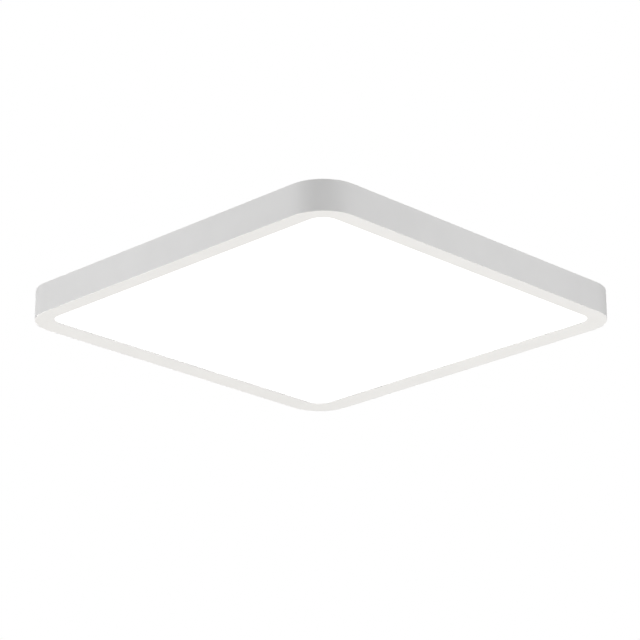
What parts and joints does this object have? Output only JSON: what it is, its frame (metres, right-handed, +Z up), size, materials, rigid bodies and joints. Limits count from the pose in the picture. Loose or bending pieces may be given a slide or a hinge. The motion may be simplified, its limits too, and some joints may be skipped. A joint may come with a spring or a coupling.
{
  "type": "flush mount ceiling light",
  "caption": "Thin square edge-lit LED ceiling light with a white bezel and a lit opal panel, hung by keyholes on a ceiling bar, with driver and terminal block on its back pan.",
  "frame": {"origin": "centre of the mounting bar's upper face, on the ceiling", "axes": "+Z up into the ceiling, +X along the mounting bar and the way the lamp slides off its studs, +Y towards the driver and terminal block"},
  "size_m": [0.3, 0.3, 0.0226],
  "materials": {
    "bezel_plastic": "fine matt moulded white",
    "opal_diffuser": "opal acrylic, lit evenly from behind",
    "clear_acrylic": "clear cast sheet with an etched dot grid",
    "reflector_film": "matt white film",
    "white_foam": "closed cell foam",
    "led_circuit": "white solder resist",
    "led_phosphor": "yellow phosphor in white packages",
    "thermal_tape": "grey thermal tape",
    "pan_steel": "electro-galvanised sheet, rolled along X",
    "zinc_steel": "galvanised sheet",
    "zinc_screw": "bright zinc plate",
    "driver_plastic": "fine grained moulded white",
    "circuit_board": "green solder resist",
    "ferrite": "dark sintered ferrite",
    "copper_winding": "enamelled copper wire",
    "capacitor_sleeve": "dark sleeve",
    "black_epoxy": "moulded epoxy",
    "fuse_glass": "pale ceramic tube",
    "terminal_nylon": "natural white nylon",
    "button_plastic": "orange",
    "contact_brass": "rolled strip",
    "spring_steel": "bright spring strip",
    "lead_brown": "PVC insulation",
    "lead_blue": "PVC insulation",
    "lead_green": "green PVC with a yellow stripe",
    "lead_red": "PVC insulation",
    "lead_black": "PVC insulation",
    "clip_nylon": "natural nylon"
  },
  "bodies": {
    "root": {"mounting_bar": "zinc_steel", "hanger_studs": "zinc_screw"},
    "lamp": {"frame_bezel": "bezel_plastic", "diffuser_plate": "opal_diffuser", "light_guide_plate": "clear_acrylic", "reflector_sheet": "reflector_film", "foam_pad": "white_foam", "led_strip": "led_circuit", "led_packages": "led_phosphor", "thermal_tapes": "thermal_tape", "back_pan": "pan_steel", "frame_screws": "zinc_screw", "hanger_bridge_left": "zinc_steel", "hanger_bridge_right": "zinc_steel", "bridge_rivets": "zinc_screw", "driver_case_base": "driver_plastic", "driver_case_lid": "driver_plastic", "driver_board": "circuit_board", "driver_transformer_core": "ferrite", "driver_transformer_winding": "copper_winding", "driver_choke": "ferrite", "driver_fuse": "fuse_glass", "driver_rectifier": "black_epoxy", "driver_power_switch": "black_epoxy", "driver_input_capacitor": "capacitor_sleeve", "driver_output_capacitors": "capacitor_sleeve", "driver_screws": "zinc_screw", "terminal_base": "terminal_nylon", "terminal_housing": "terminal_nylon", "terminal_contacts": "contact_brass", "terminal_clamps": "spring_steel", "terminal_screws": "zinc_screw", "lead_live": "lead_brown", "lead_neutral": "lead_blue", "lead_earth": "lead_green", "earth_lug": "contact_brass", "earth_screw": "zinc_screw", "led_lead_positive": "lead_red", "led_lead_negative": "lead_black", "lead_clips": "clip_nylon"},
    "button_live": {"release_button_live": "button_plastic"},
    "button_neutral": {"release_button_neutral": "button_plastic"},
    "button_earth": {"release_button_earth": "button_plastic"}
  },
  "joints": [
    {"name": "lamp_slide", "type": "slide", "parent": "root", "child": "lamp", "axis": [1, 0, 0], "range_m": [0, 0.012]},
    {"name": "live_button_press", "type": "slide", "parent": "lamp", "child": "button_live", "axis": [0, 0, -1], "range_m": [0, 0.0015], "stiffness_N_per_m": 2000, "springref_m": -0.0005},
    {"name": "neutral_button_press", "type": "slide", "parent": "lamp", "child": "button_neutral", "axis": [0, 0, -1], "range_m": [0, 0.0015], "stiffness_N_per_m": 2000, "springref_m": -0.0005},
    {"name": "earth_button_press", "type": "slide", "parent": "lamp", "child": "button_earth", "axis": [0, 0, -1], "range_m": [0, 0.0015], "stiffness_N_per_m": 2000, "springref_m": -0.0005}
  ]
}
